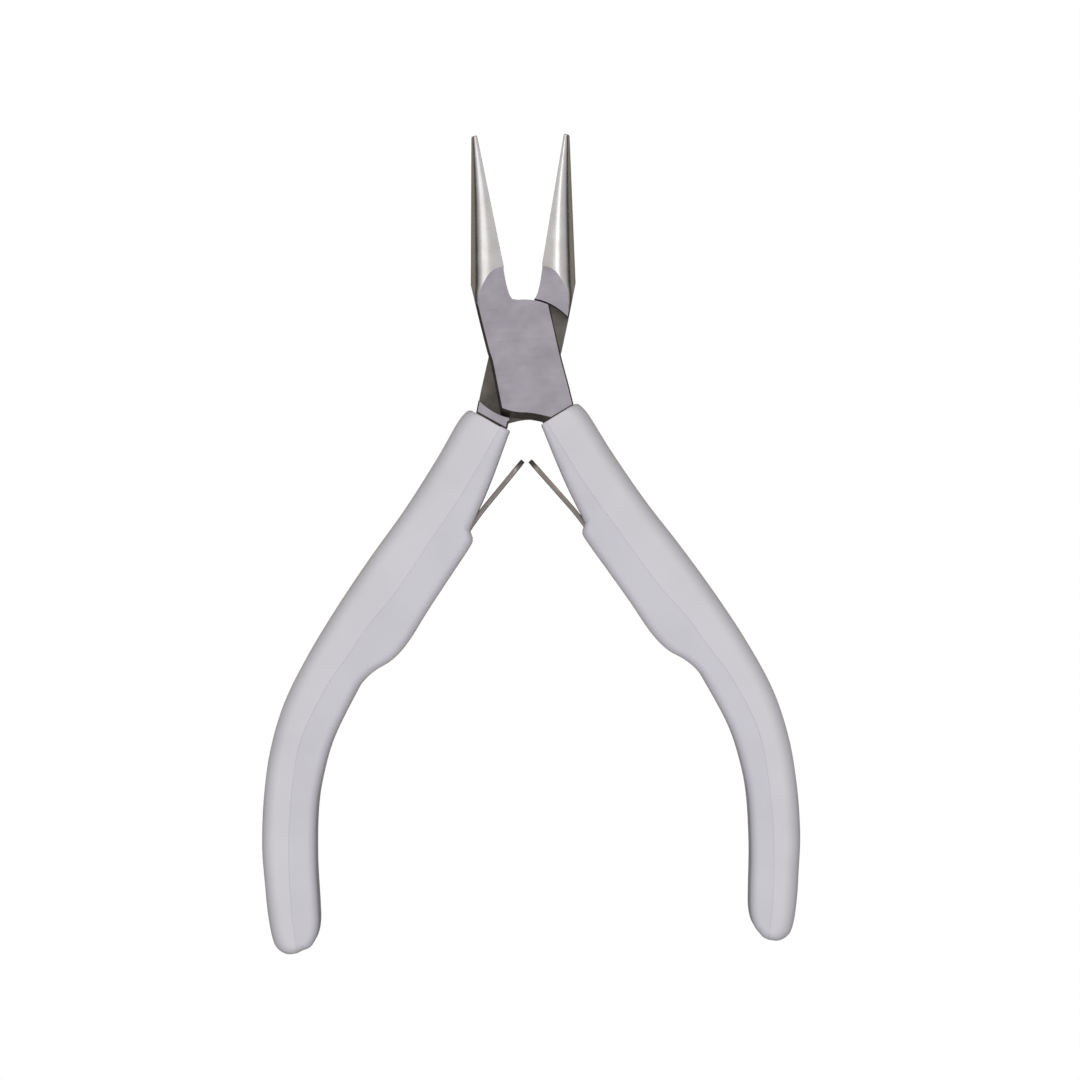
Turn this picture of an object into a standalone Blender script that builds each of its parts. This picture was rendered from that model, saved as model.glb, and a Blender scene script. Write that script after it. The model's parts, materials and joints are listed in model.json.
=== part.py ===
"""Slim jewellery pliers with half-round jaws, sleeved handles and two return springs, standing open.

The tool is two equal steel halves that cross in a lap joint. One half lies with its plate in front,
the other is the same piece turned over, half a turn about Y. Everything a half carries is drawn in
that half's own frame: the pivot at the origin, the tip towards +Y, the jaw at -X, the handle at +X,
and z = 0 in the plane where the two plates meet. In that frame the tool is closed.
Outlines are in millimetres; the model is in metres, +Z up, with z = 0 on the back of the joint.
"""

import math

import bmesh
import bpy
from mathutils import Matrix, Vector

MM = 0.001

# The joint.
JOINT_THICKNESS = 8.0
OPEN_ANGLE = 10.4  # degrees that each half stands open
PLATE_TOP_RADIUS = 8.6
PLATE_LOW_RADIUS = 9.3
RECESS_TOP_RADIUS = 8.85
RECESS_LOW_RADIUS = 9.5
PLATE_PLAY = 0.05  # from the lap plane to each plate
CUT_BEYOND = 1.0  # how far a cutter runs past the face that it opens

# The jaw, turned on an axis along its flat inner face and pressed a little wider than thick.
JAW_AXIS_X = -0.4
JAW_TIP_Y = 34.3
JAW_TIP_RADIUS = 0.7
JAW_ROOT_Y = 14.0
JAW_ROOT_RADIUS = 3.9
JAW_WIDENING = 1.3
JAW_TIP_OVERRUN = 2.0  # the form goes on past the tip
JAW_RING_RADIUS = 14.0
ROUND_STEPS = 48

# The pivot screw: a flush head at the back, a bearing shank, and a thread in the front plate.
HEAD_RADIUS = 3.5
HEAD_HEIGHT = 1.4
SHANK_RADIUS = 2.5
THREAD_RADIUS = 2.0
THREAD_TOP = 2.7
THREAD_START = -0.15
THREAD_CHAMFER = 0.3
THREAD_CLEARANCE = 0.2
BEARING_CLEARANCE = 0.04
SPANNER_HOLE_RADIUS = 0.5
SPANNER_HOLE_PLACE = 2.2
SPANNER_HOLE_DEPTH = 0.8

# The handles.
TANG_HALF = 2.6
TANG_SLOT_GROWTH = 0.4
GRIP_HALF = 5.0
SEAM_HALF = 0.13
GRIP_EDGE = 0.6
GRIP_SLIDE = {"right": Vector((-0.4, 1.0)), "left": Vector((0.15, 0.2))}
INSERT_SHIFT = {"right": 0.3, "left": -0.3}
SHOULDER_DROP = {"right": 0.0, "left": 0.85}
NECK_STEP = ((-2.5, -12.5), (0.75, -12.5), (0.75, -9.0), (-2.5, -9.0))  # half thickness inside it
BEVELLED_ANGLE = 50  # degrees; shallower edges stay as they are

# The springs: a straight leaf that tilts at the hinge point, and a foot pinned to the tang.
HINGE = Vector((2.35, -23.4))
LEAF_TILT = 30.0  # degrees from the half's own Y axis, towards the other handle
LEAF_LENGTH = 9.25
LEAF_THICKNESS = 0.7
LEAF_HALF = 2.5
LEAF_START = 0.3  # clear of the foot when the leaf tilts
POCKET_START = (1.6, -22.1)
POCKET_END = (9.8, -39.75)
PIN_PLACE = Vector((7.4, -34.4))
PIN_RADIUS = 0.8
PIN_LENGTH = 3.5
PIN_CLEARANCE = 0.15
FOOT_SLOPE = 24.2  # degrees from Y, along the handle

GAP = 0.3  # between pieces that touch on the real tool
SHARP_ANGLE = 30  # degrees from which an edge is shaded as a crease


def clear_scene():
    for obj in list(bpy.data.objects):
        bpy.data.objects.remove(obj)


def new_collection(name):
    home = bpy.data.collections.new(name)
    bpy.context.scene.collection.children.link(home)
    return home


def principled(name, colour, roughness, metallic):
    material = bpy.data.materials.new(name)
    material.use_nodes = True
    shader = material.node_tree.nodes["Principled BSDF"]
    shader.inputs["Base Color"].default_value = (*colour, 1.0)
    shader.inputs["Roughness"].default_value = roughness
    shader.inputs["Metallic"].default_value = metallic
    return material


# ---------------------------------------------------------------- outlines, in millimetres


def arc(radius, start, end, steps):
    """Points about the pivot, from one angle to another, in degrees."""
    angles = [math.radians(start + (end - start) * i / steps) for i in range(steps + 1)]
    return [(radius * math.cos(a), radius * math.sin(a)) for a in angles]


def smooth_run(points, steps=3):
    """A soft line through the points, as a Catmull-Rom spline."""
    places = [Vector(p) for p in points]
    ends = [2 * places[0] - places[1]] + places + [2 * places[-1] - places[-2]]
    run = []
    for before, here, there, after in zip(ends, ends[1:], ends[2:], ends[3:]):
        for i in range(steps):
            t = i / steps
            place = (
                2 * here
                + (there - before) * t
                + (2 * before - 5 * here + 4 * there - after) * t**2
                + (3 * here - before - 3 * there + after) * t**3
            ) / 2
            run.append(tuple(place))
    return run + [tuple(places[-1])]


def ribbon(points, half_width):
    """The outline of a strip of even width along a line of points."""
    places = [Vector(p) for p in points]
    left, right = [], []
    for i, place in enumerate(places):
        along = (places[min(i + 1, len(places) - 1)] - places[max(i - 1, 0)]).normalized()
        side = Vector((-along.y, along.x)) * half_width
        left.append(tuple(place + side))
        right.append(tuple(place - side))
    return left + right[::-1]


def half_outline(drop):
    """A steel half seen from the front, down to the shoulder that meets the grip."""
    return [
        (-0.38, JAW_TIP_Y),
        (-0.38, 14.5),
        (-0.47, 13.6),
        (-0.5, 11.2),
        (-0.43, 10.1),
        (-0.33, 9.5),
        (-0.2, 9.12),
        (-0.04, 8.85),
        (0.34, 8.72),
        *arc(PLATE_TOP_RADIUS, 83, 53, 10),
        (5.4, -1.0),
        (5.7, -6.0),
        (5.8, -8.25 - drop),
        (0.95, -9.95 - drop),
        (0.75, -10.0),
        (0.1, -9.78),
        (-0.8, -9.42),
        *arc(PLATE_LOW_RADIUS, -100, -124, 8),
        (-5.15, 0.3),
        (-5.35, 1.9),
        (-5.58, 6.6),
        (-5.72, 10.8),
        (-5.78, 12.4),
        (-5.85, 15.0),
        (-2.2, 33.5),
    ]


def recess_outline():
    """The space in which the other half's plate turns."""
    top = arc(RECESS_TOP_RADIUS, 0, 180, 48)
    low = arc(RECESS_LOW_RADIUS, 180, 360, 48)
    return top + low


def tang_outline(grown=0.0):
    """The flat bar inside the grip. Grown, it is the slot that the grip has for it."""
    outer = [(5.6, -7.9), (6.4, -12.5), (8.4, -20.0), (12.2, -31.0), (16.0, -39.5), (19.5, -46.5)]
    outer += [(22.8, -54.0), (24.9, -62.0), (25.3, -68.5), (24.9, -75.0), (23.9, -81.5)]
    inner = [(21.5, -81.5), (22.1, -75.0), (22.3, -68.5), (21.7, -61.5), (19.6, -55.0), (16.6, -48.5)]
    inner += [(12.6, -43.0), (10.5, -39.3), (8.7, -35.2), (6.9, -31.2), (5.9, -27.4), (4.9, -21.8)]
    inner += [(3.3, -14.0), (1.3, -9.2)]
    outer = [(x + grown, y) for x, y in smooth_run(outer, 2)]
    inner = [(x - grown, y) for x, y in smooth_run(inner, 2)]
    if not grown:
        return outer + inner
    mouth_y = outer[0][1] + CUT_BEYOND
    mouth = [(inner[-1][0], mouth_y), (outer[0][0], mouth_y)]
    end = [(outer[-1][0], outer[-1][1] - grown), (inner[0][0], inner[0][1] - grown)]
    return outer + end + inner + mouth


def seam_points():
    """The line where the grip's shell and its insert meet."""
    upper = [(1.6, -11.1), (5.6, -21.7), (9.2, -29.6), (13.1, -38.1), (16.5, -44.0), (18.6, -48.6)]
    lower = [(21.2, -54.1), (23.4, -61.4), (23.8, -67.1), (23.4, -73.4), (22.6, -79.6), (21.0, -87.1)]
    return smooth_run([*upper, *lower, (19.1, -94.1)], 2)


def shell_outline():
    """The outer moulding of a grip, from its square shoulder round the heel of the handle."""
    upper = [(7.15, -9.75), (8.25, -11.7), (10.45, -17.6), (13.9, -25.7), (17.85, -33.7), (21.55, -41.8)]
    lower = [(24.75, -49.8), (27.1, -57.5), (28.0, -65.0), (27.75, -72.4), (26.8, -79.5), (25.05, -86.6)]
    heel = [(23.4, -91.6), (22.1, -93.7), (20.3, -94.6)]
    seam = [(x + SEAM_HALF, y) for x, y in seam_points()]
    return [(6.5, -9.4), *smooth_run([*upper, *lower, *heel], 2), *seam[::-1]]


def insert_outline(shift):
    """The inner moulding of a grip: a thin lip, a notch under the spring, and a swelling below it."""
    lip = [(0.55, -11.5), (0.76, -12.4), (1.05, -14.0), (1.77, -17.8), (2.58, -21.5), (3.5, -25.0)]
    swell = [(3.5, -28.3), (3.65, -29.6), (6.15, -35.2), (8.42, -40.3), (10.5, -45.3), (12.35, -48.3)]
    waist = [(14.6, -50.3), (16.15, -52.2), (17.0, -54.1), (19.25, -61.5), (19.95, -67.5), (19.85, -72.7)]
    heel = [(18.8, -79.8), (17.2, -86.9), (16.65, -89.5), (17.05, -91.8), (18.4, -93.5)]
    seam = [(x - SEAM_HALF, y) for x, y in seam_points()]
    edge = [*smooth_run(lip, 2), (4.1, -27.2), *smooth_run([*swell, *waist, *heel], 2)]
    return [(x + shift, y) for x, y in edge] + seam[::-1]


def foot_line():
    """The middle of the spring's foot, from the hinge point down into the swelling."""
    return smooth_run([tuple(HINGE), (3.2, -25.0), (4.15, -27.0), (5.2, -29.5), (9.6, -39.3)])


# ---------------------------------------------------------------- solids


def weld(mesh):
    """Joins the loose caps of a filled curve and turns every face outwards."""
    shape = bmesh.new()
    shape.from_mesh(mesh)
    bmesh.ops.remove_doubles(shape, verts=shape.verts, dist=1e-7)
    bmesh.ops.recalc_face_normals(shape, faces=shape.faces)
    shape.to_mesh(mesh)
    shape.free()


def prism(name, outline, low, high, home, frame):
    """A plate of the given outline between two heights, standing in a half's frame."""
    curve = bpy.data.curves.new(name, "CURVE")
    curve.dimensions = "2D"
    curve.fill_mode = "BOTH"
    curve.extrude = 0.5 * (high - low) * MM
    spline = curve.splines.new("POLY")
    spline.points.add(len(outline) - 1)
    for point, (x, y) in zip(spline.points, outline):
        point.co = (x * MM, y * MM, 0.0, 1.0)
    spline.use_cyclic_u = True
    drawn = bpy.data.objects.new(name, curve)
    bpy.context.scene.collection.objects.link(drawn)
    evaluated = drawn.evaluated_get(bpy.context.evaluated_depsgraph_get())
    mesh = bpy.data.meshes.new_from_object(evaluated)
    bpy.data.objects.remove(drawn)
    weld(mesh)
    solid = bpy.data.objects.new(name, mesh)
    solid.location.z = 0.5 * (low + high) * MM
    solid.parent = frame
    home.objects.link(solid)
    return solid


def turned(name, profile, steps, home, frame):
    """A profile of (radius, height) points turned about its own Z axis."""
    mesh = bpy.data.meshes.new(name)
    shape = bmesh.new()
    corners = [shape.verts.new((radius * MM, 0.0, height * MM)) for radius, height in profile]
    for here, there in zip(corners, corners[1:]):
        shape.edges.new((here, there))
    if profile[0][0] > 0.0:
        shape.edges.new((corners[-1], corners[0]))
    shape.to_mesh(mesh)
    shape.free()
    solid = bpy.data.objects.new(name, mesh)
    screw = solid.modifiers.new("turn", "SCREW")
    screw.steps = steps
    screw.render_steps = steps
    screw.use_merge_vertices = True
    screw.merge_threshold = 1e-6
    solid.parent = frame
    home.objects.link(solid)
    return solid


def cylinder(name, radius, low, high, home, frame, place=(0.0, 0.0)):
    """An upright cylinder between two heights."""
    mesh = bpy.data.meshes.new(name)
    shape = bmesh.new()
    middle = Matrix.Translation((0.0, 0.0, 0.5 * (low + high) * MM))
    size = {"radius1": radius * MM, "radius2": radius * MM, "depth": (high - low) * MM}
    bmesh.ops.create_cone(shape, cap_ends=True, segments=ROUND_STEPS, matrix=middle, **size)
    shape.to_mesh(mesh)
    shape.free()
    solid = bpy.data.objects.new(name, mesh)
    solid.location = (place[0] * MM, place[1] * MM, 0.0)
    solid.parent = frame
    home.objects.link(solid)
    return solid


def combine(solid, other, operation):
    boolean = solid.modifiers.new(other.name, "BOOLEAN")
    boolean.operation = operation
    boolean.object = other


def finish(solid, material):
    solid.data.materials.append(material)
    solid.data.shade_smooth()
    solid.data.set_sharp_from_angle(angle=math.radians(SHARP_ANGLE))


# ---------------------------------------------------------------- the pieces


def jaw_form(name, tools, frame):
    """The ring that leaves a jaw: a slim cone that flares into a cove where it meets the joint."""
    taper = (JAW_ROOT_RADIUS - JAW_TIP_RADIUS) / (JAW_TIP_Y - JAW_ROOT_Y)
    top = JAW_TIP_Y + JAW_TIP_OVERRUN
    cone = [(JAW_TIP_RADIUS - taper * JAW_TIP_OVERRUN, top), (JAW_ROOT_RADIUS, JAW_ROOT_Y)]
    cove = [(5.05, 12.4), (5.95, 11.2), (6.8, 10.4), (8.4, 9.6), (10.5, 9.2)]
    outside = [(JAW_RING_RADIUS, top), (JAW_RING_RADIUS, cove[-1][1])]
    profile = outside + (cone + cove)[::-1]
    ring = turned(name, profile, ROUND_STEPS, tools, frame)
    ring.location.x = JAW_AXIS_X * MM
    ring.rotation_euler.x = math.radians(-90)
    ring.scale.x = JAW_WIDENING
    return ring


def pin_frame(name, tools, frame):
    """An empty on the spring's foot whose Z axis points through it into the tang."""
    slope = math.radians(FOOT_SLOPE)
    inwards = Vector((math.cos(slope), math.sin(slope), 0.0))
    empty = bpy.data.objects.new(name, None)
    empty.location = (PIN_PLACE.x * MM, PIN_PLACE.y * MM, 0.0)
    empty.rotation_mode = "QUATERNION"
    empty.rotation_quaternion = inwards.to_track_quat("Z", "Y")
    empty.parent = frame
    tools.objects.link(empty)
    return empty


def steel_half(name, drop, hole_profile, steel, parts, tools, frame, pin_empty):
    """Jaw, joint plate and tang of one half, with the hole its side of the pivot needs."""
    half_thickness = 0.5 * JOINT_THICKNESS
    half = prism(name, half_outline(drop), -half_thickness, half_thickness, parts, frame)
    below = -half_thickness - CUT_BEYOND
    recess = prism(name + "_recess", recess_outline(), below, PLATE_PLAY, tools, frame)
    tang = prism(name + "_tang", tang_outline(), -TANG_HALF, TANG_HALF, tools, frame)
    combine(half, jaw_form(name + "_jaw_form", tools, frame), "DIFFERENCE")
    combine(half, tang, "UNION")
    combine(half, recess, "DIFFERENCE")
    combine(half, prism(name + "_neck_step", NECK_STEP, below, PLATE_PLAY, tools, frame), "DIFFERENCE")
    combine(half, turned(name + "_pivot_hole", hole_profile, ROUND_STEPS, tools, frame), "DIFFERENCE")
    pin_end = PIN_LENGTH - 0.5 * LEAF_THICKNESS + GAP
    pin_wall = PIN_RADIUS + PIN_CLEARANCE
    pin_hole = cylinder(name + "_pin_hole", pin_wall, -CUT_BEYOND, pin_end, tools, pin_empty)
    combine(half, pin_hole, "DIFFERENCE")
    finish(half, steel)
    return half


def pivot_screw(steel, parts, tools, frame):
    """The screw that holds the halves together, its head flush with the back of the joint."""
    back = -0.5 * JOINT_THICKNESS
    seat = back + HEAD_HEIGHT
    profile = [(0.0, THREAD_TOP), (THREAD_RADIUS - THREAD_CHAMFER, THREAD_TOP)]
    profile += [(THREAD_RADIUS, THREAD_TOP - THREAD_CHAMFER), (THREAD_RADIUS, THREAD_START)]
    profile += [(SHANK_RADIUS, THREAD_START), (SHANK_RADIUS, seat)]
    profile += [(HEAD_RADIUS, seat), (HEAD_RADIUS, back), (0.0, back)]
    screw = turned("pivot_screw", profile, ROUND_STEPS, parts, frame)
    for side in (-1, 1):
        place = (side * SPANNER_HOLE_PLACE, 0.0)
        floor = back + SPANNER_HOLE_DEPTH
        hole = cylinder("spanner_hole", SPANNER_HOLE_RADIUS, back - CUT_BEYOND, floor, tools, frame, place)
        combine(screw, hole, "DIFFERENCE")
    finish(screw, steel)


def grip(side, shell_finish, insert_finish, parts, tools, frame):
    """The two mouldings of one handle, each hollowed for the tang and the insert for the foot too."""
    slot_height = TANG_HALF + GAP
    slot_outline = tang_outline(TANG_SLOT_GROWTH)
    slot = prism(side + "_tang_slot", slot_outline, -slot_height, slot_height, tools, frame)
    pocket_height = LEAF_HALF + GAP
    pocket_outline = ribbon([POCKET_START, *foot_line(), POCKET_END], 0.5 * LEAF_THICKNESS + GAP)
    pocket = prism(side + "_foot_pocket", pocket_outline, -pocket_height, pocket_height, tools, frame)
    slide = GRIP_SLIDE[side]
    lines = (shell_outline(), insert_outline(INSERT_SHIFT[side]))
    outlines = [[Vector(place) + slide for place in line] for line in lines]
    shell = prism(side + "_grip_shell", outlines[0], -GRIP_HALF, GRIP_HALF, parts, frame)
    insert = prism(side + "_grip_insert", outlines[1], -GRIP_HALF, GRIP_HALF, parts, frame)
    for moulding, surface in ((shell, shell_finish), (insert, insert_finish)):
        edge = moulding.modifiers.new("edge", "BEVEL")
        edge.width = GRIP_EDGE * MM
        edge.segments = 2
        edge.limit_method = "ANGLE"
        edge.angle_limit = math.radians(BEVELLED_ANGLE)
        combine(moulding, slot, "DIFFERENCE")
        finish(moulding, surface)
    combine(insert, pocket, "DIFFERENCE")


def spring(side, steel, parts, tools, frame, pin_empty):
    """A leaf on its hinge point, the foot that holds it, and the pin through foot and tang."""
    half_thickness = 0.5 * LEAF_THICKNESS
    foot_outline = ribbon(foot_line(), half_thickness)
    foot = prism(side + "_spring_foot", foot_outline, -LEAF_HALF, LEAF_HALF, parts, frame)
    hole_wall = PIN_RADIUS + PIN_CLEARANCE
    hole = cylinder(side + "_foot_hole", hole_wall, -CUT_BEYOND, CUT_BEYOND, tools, pin_empty)
    combine(foot, hole, "DIFFERENCE")
    pin_end = PIN_LENGTH - half_thickness
    pin = cylinder(side + "_spring_pin", PIN_RADIUS, -half_thickness, pin_end, parts, pin_empty)
    hinge = bpy.data.objects.new(side + "_spring_hinge", None)
    hinge.location = (HINGE.x * MM, HINGE.y * MM, 0.0)
    hinge.rotation_euler.z = math.radians(LEAF_TILT)
    hinge.parent = frame
    parts.objects.link(hinge)
    leaf_outline = ribbon([(0.0, LEAF_START), (0.0, LEAF_LENGTH)], half_thickness)
    leaf = prism(side + "_spring_leaf", leaf_outline, -LEAF_HALF, LEAF_HALF, parts, hinge)
    for piece in (foot, pin, leaf):
        finish(piece, steel)


def half_frame(name, home, turned_over):
    """The empty on the pivot that carries everything of one half."""
    empty = bpy.data.objects.new(name, None)
    turn = Matrix.Rotation(math.radians(OPEN_ANGLE), 4, "Z")
    if turned_over:
        turn = turn.inverted() @ Matrix.Rotation(math.pi, 4, "Y")
    empty.rotation_euler = turn.to_euler()
    empty.location.z = 0.5 * JOINT_THICKNESS * MM
    home.objects.link(empty)
    return empty


def main():
    clear_scene()
    parts = new_collection("round_nose_pliers")
    tools = new_collection("cutters")
    steel = principled("brushed_steel", (0.46, 0.44, 0.47), 0.32, 1.0)
    spring_steel = principled("spring_steel", (0.3, 0.28, 0.26), 0.35, 1.0)
    shell_finish = principled("grip_shell", (0.62, 0.61, 0.65), 0.45, 0.0)
    insert_finish = principled("grip_insert", (0.55, 0.54, 0.6), 0.5, 0.0)

    front = half_frame("front_half_frame", parts, False)
    back = half_frame("back_half_frame", parts, True)
    front_pin = pin_frame("right_pin_frame", parts, front)
    back_pin = pin_frame("left_pin_frame", parts, back)

    thread_wall = THREAD_RADIUS + THREAD_CLEARANCE
    thread_floor = THREAD_TOP + GAP
    thread_hole = [(0.0, thread_floor), (thread_wall, thread_floor)]
    thread_hole += [(thread_wall, -CUT_BEYOND), (0.0, -CUT_BEYOND)]
    bearing_wall = SHANK_RADIUS + BEARING_CLEARANCE
    seat_wall = HEAD_RADIUS + GAP
    seat_floor = 0.5 * JOINT_THICKNESS - HEAD_HEIGHT - GAP
    beyond = 0.5 * JOINT_THICKNESS + CUT_BEYOND
    seated_hole = [(0.0, beyond), (seat_wall, beyond), (seat_wall, seat_floor)]
    seated_hole += [(bearing_wall, seat_floor), (bearing_wall, -CUT_BEYOND), (0.0, -CUT_BEYOND)]
    drops = (SHOULDER_DROP["right"], SHOULDER_DROP["left"])
    steel_half("front_half", drops[0], thread_hole, steel, parts, tools, front, front_pin)
    steel_half("back_half", drops[1], seated_hole, steel, parts, tools, back, back_pin)
    pivot_screw(steel, parts, tools, front)

    for side, frame, pin_empty in (("right", front, front_pin), ("left", back, back_pin)):
        grip(side, shell_finish, insert_finish, parts, tools, frame)
        spring(side, spring_steel, parts, tools, frame, pin_empty)

    for cutter in tools.objects:
        cutter.hide_render = True
        cutter.display_type = "WIRE"


main()
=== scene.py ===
# %% [markdown]
# Slim jewellery pliers with half-round jaws, white sleeved handles and two return springs, standing
# open. The imported model comes first, as a fixed frame: it knows where every piece lies and which body
# carries it. Every finer piece made below takes the place of one or two of its nodes, and all but the
# springs ride on their bodies.

# %% Load the imported model
import json
import math

import bmesh
import bpy
from mathutils import Matrix, Vector
from mathutils.geometry import intersect_point_line


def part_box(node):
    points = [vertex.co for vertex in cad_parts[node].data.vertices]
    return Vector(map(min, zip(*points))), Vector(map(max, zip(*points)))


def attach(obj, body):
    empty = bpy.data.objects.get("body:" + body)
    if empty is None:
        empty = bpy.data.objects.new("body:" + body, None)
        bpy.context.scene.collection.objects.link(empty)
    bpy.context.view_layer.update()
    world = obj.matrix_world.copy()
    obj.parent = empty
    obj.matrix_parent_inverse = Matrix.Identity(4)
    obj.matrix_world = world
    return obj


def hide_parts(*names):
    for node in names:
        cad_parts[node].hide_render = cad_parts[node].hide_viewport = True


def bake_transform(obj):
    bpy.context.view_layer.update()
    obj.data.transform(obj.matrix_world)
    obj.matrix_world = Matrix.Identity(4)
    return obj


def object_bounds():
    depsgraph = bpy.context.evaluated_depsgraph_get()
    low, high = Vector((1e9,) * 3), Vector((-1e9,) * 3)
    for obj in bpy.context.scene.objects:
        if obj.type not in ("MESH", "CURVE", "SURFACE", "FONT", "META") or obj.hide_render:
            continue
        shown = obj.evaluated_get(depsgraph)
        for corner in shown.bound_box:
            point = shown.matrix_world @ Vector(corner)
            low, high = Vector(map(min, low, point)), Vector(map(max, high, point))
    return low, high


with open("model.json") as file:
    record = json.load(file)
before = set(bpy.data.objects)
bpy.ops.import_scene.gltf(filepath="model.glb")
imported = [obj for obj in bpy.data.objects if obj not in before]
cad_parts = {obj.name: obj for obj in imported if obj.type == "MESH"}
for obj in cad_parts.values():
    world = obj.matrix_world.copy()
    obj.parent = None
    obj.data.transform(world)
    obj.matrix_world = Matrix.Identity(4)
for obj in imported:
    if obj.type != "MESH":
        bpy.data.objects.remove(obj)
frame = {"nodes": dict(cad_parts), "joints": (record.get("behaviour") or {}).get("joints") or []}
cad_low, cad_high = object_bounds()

print("the tool measures", [round(1000 * side, 1) for side in cad_high - cad_low], "mm")

# %% [markdown]
# The two steel halves are one design, and the back one is the front one turned over, half a turn about
# Y. So each half is drawn once, in millimetres, in its own frame: the pivot at the origin, the tip
# towards +Y, the jaw at -X, the handle at +X, and z = 0 in the plane where the two plates meet. One
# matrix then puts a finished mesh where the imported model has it. Drawing the tool in place instead
# would mean working every number out twice, with the opening angle mixed in.

# %% Where each half stands
MM = 0.001
OPEN_ANGLE = math.radians(10.4)
pivot = Vector(next(joint["pos_m"] for joint in frame["joints"] if joint["name"] == "pivot"))
to_pivot = Matrix.Translation(pivot)
to_metres = Matrix.Scale(MM, 4)
turned_over = Matrix.Rotation(math.pi, 4, "Y")
front_place = to_pivot @ Matrix.Rotation(OPEN_ANGLE, 4, "Z") @ to_metres
back_place = to_pivot @ Matrix.Rotation(-OPEN_ANGLE, 4, "Z") @ turned_over @ to_metres
half_low, half_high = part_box("front_half")
grip_low, grip_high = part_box("left_grip_shell")
HALF_THICKNESS = 0.5 * (half_high.z - half_low.z) / MM
GRIP_HALF = 0.5 * (grip_high.z - grip_low.z) / MM
print("half thickness of the joint", round(HALF_THICKNESS, 2), "and of a grip", round(GRIP_HALF, 2))

# %% [markdown]
# The camera looks straight down from far enough away that the tool shows almost no perspective. It is
# turned a little, because the tool doesn't lie quite square. An orthographic camera would be as simple,
# but it would hide the thin strip of each grip's side that a real lens still sees.

# %% Camera
VIEW_WIDTH = 0.1631
VIEW_MIDDLE = Vector((0.00233, -0.0275))
VIEW_ROLL = math.radians(-1.06)
CAMERA_HEIGHT = 0.62
camera_data = bpy.data.cameras.new("camera")
camera_data.lens = camera_data.sensor_width * CAMERA_HEIGHT / VIEW_WIDTH
camera = bpy.data.objects.new("camera", camera_data)
middle = Matrix.Rotation(VIEW_ROLL, 2) @ VIEW_MIDDLE
camera.location = (middle.x, middle.y, pivot.z + CAMERA_HEIGHT)
camera.rotation_euler.z = VIEW_ROLL
bpy.context.scene.collection.objects.link(camera)
bpy.context.scene.camera = camera
bpy.context.scene.view_settings.view_transform = "Standard"
print("lens", round(camera_data.lens), "mm")

# %% [markdown]
# Polished steel shows its surroundings, so the light is a small studio: a dim ceiling above, a long soft
# box on either side, and near darkness round the horizon. The ceiling gives the flat joint its even
# grey, the boxes draw the bright line along each jaw, and the dark horizon draws the black line beside
# it. The room is a gradient in the world, which costs less to render than a built ceiling.

# %% The room
world = bpy.data.worlds.new("room")
bpy.context.scene.world = world
world.use_nodes = True
nodes, links = world.node_tree.nodes, world.node_tree.links
nodes.clear()
direction = nodes.new("ShaderNodeTexCoord")
direction.label = "direction of the ray"
height = nodes.new("ShaderNodeSeparateXYZ")
height.label = "how high it points"
ceiling = nodes.new("ShaderNodeValToRGB")
ceiling.label = "dark horizon, dim ceiling"
room = nodes.new("ShaderNodeBackground")
room.label = "what the steel sees"
paper = nodes.new("ShaderNodeBackground")
paper.label = "plain white behind the tool"
seen = nodes.new("ShaderNodeLightPath")
seen.label = "looked at directly?"
choice = nodes.new("ShaderNodeMixShader")
choice.label = "paper or room"
output = nodes.new("ShaderNodeOutputWorld")
for column, node in enumerate([direction, height, ceiling, room, paper, seen, choice, output]):
    node.location = (220 * column, 0)
ramp = ceiling.color_ramp
ramp.elements[0].position = 0.0
ramp.elements[0].color = (0.02, 0.02, 0.022, 1.0)
ramp.elements[1].position = 1.0
ramp.elements[1].color = (0.6, 0.59, 0.61, 1.0)
SHADES_BETWEEN = ((0.2, 0.03), (0.38, 0.42), (0.6, 0.6))
for position, shade in SHADES_BETWEEN:
    stop = ramp.elements.new(position)
    stop.color = (shade, 0.985 * shade, 1.01 * shade, 1.0)
paper.inputs["Color"].default_value = (1.0, 1.0, 1.0, 1.0)
links.new(direction.outputs["Generated"], height.inputs["Vector"])
links.new(height.outputs["Z"], ceiling.inputs["Fac"])
links.new(ceiling.outputs["Color"], room.inputs["Color"])
links.new(seen.outputs["Is Camera Ray"], choice.inputs["Fac"])
links.new(room.outputs["Background"], choice.inputs[1])
links.new(paper.outputs["Background"], choice.inputs[2])
links.new(choice.outputs["Shader"], output.inputs["Surface"])
print("room with", len(ramp.elements), "shades")

# %% [markdown]
# A soft box is a rectangular area light, turned to face the tool. The left one is wide and low, for the
# broad bright band down each jaw. The right one is narrow and nearer to overhead, so that the other side
# of each jaw gets a thin line. A sun or a point light would draw hard specks on polished steel instead.

# %% The soft boxes
BOX_DISTANCE = 0.75
BOX_LENGTH = 1.0
# Each box has its name, its side, its angle from overhead in degrees, its width and its power in watts.
LEFT_BOX = ("left_box", -1, 36, 0.36, 0.7)
RIGHT_BOX = ("right_box", 1, 23, 0.12, 0.6)
for name, side, angle, width, power in (LEFT_BOX, RIGHT_BOX):
    box = bpy.data.lights.new(name, "AREA")
    box.shape = "RECTANGLE"
    box.size = width
    box.size_y = BOX_LENGTH
    box.energy = power
    lamp = bpy.data.objects.new(name, box)
    tilt = side * math.radians(angle)
    lamp.location = BOX_DISTANCE * Vector((math.sin(tilt), 0.0, math.cos(tilt)))
    lamp.rotation_euler.y = tilt
    bpy.context.scene.collection.objects.link(lamp)
    print(name, "stands", angle, "degrees from overhead, at", power, "W")

# %% [markdown]
# The floor is a plain pale sheet that the grips lie on. It lights the tool from below as grey paper
# does. Looked at directly it is plain white, like the paper behind it.

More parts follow.
